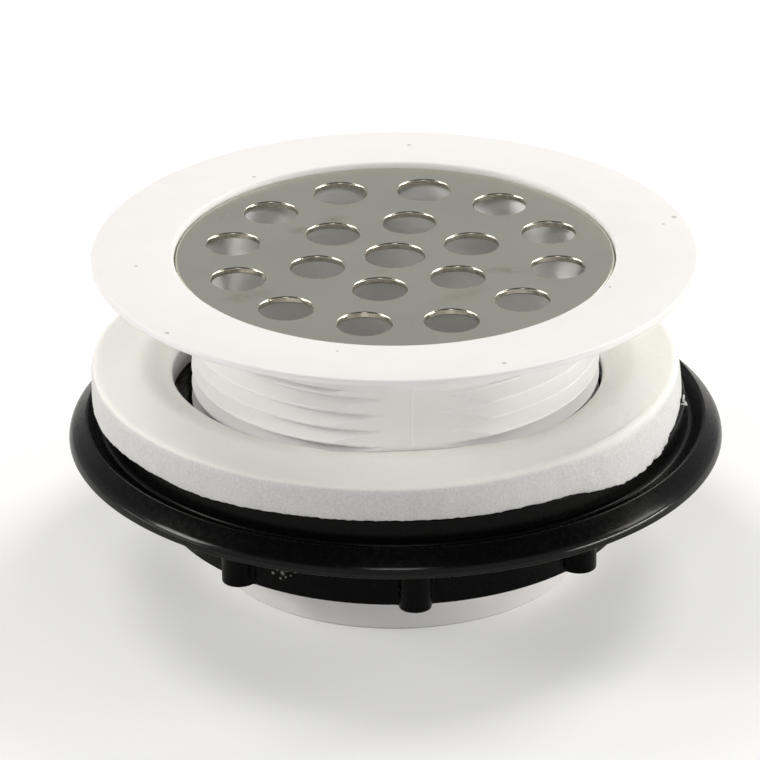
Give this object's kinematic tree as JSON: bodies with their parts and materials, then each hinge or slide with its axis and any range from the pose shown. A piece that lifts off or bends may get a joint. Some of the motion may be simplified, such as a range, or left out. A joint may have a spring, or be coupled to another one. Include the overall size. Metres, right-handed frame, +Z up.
{
  "type": "shower drain strainer",
  "caption": "Flanged shower drain with a perforated steel strainer plate, a threaded outlet tube, a foam gasket and a lugged lock nut that screws up under the shower floor.",
  "frame": {"origin": "centre of the lower rim of the outlet tube, which the part stands on", "axes": "+Z up the drain's axis to the strainer plate, +X to the right and +Y away from the camera"},
  "size_m": [0.1174, 0.1174, 0.0585],
  "materials": {
    "body_plastic": "satin",
    "plate_steel": "satin",
    "gasket_foam": "matte",
    "nut_plastic": "satin"
  },
  "bodies": {
    "drain_body": {"strainer_body": "body_plastic", "strainer_plate": "plate_steel"},
    "gasket": {"foam_gasket": "gasket_foam"},
    "nut": {"lock_nut": "nut_plastic"}
  },
  "joints": [
    {"name": "nut_travel", "type": "slide", "parent": "drain_body", "child": "gasket", "axis": [0, 0, 1], "range_m": [-0.0032, 0.0159]},
    {"name": "nut_turn", "type": "hinge", "parent": "gasket", "child": "nut", "pos_m": [0, 0, 0.02], "axis": [0, 0, 1], "range_deg": [-360, 1800]}
  ],
  "couplings": [
    {"joint": "nut_travel", "follows": "nut_turn", "m_per_rad": 0.00050532}
  ]
}
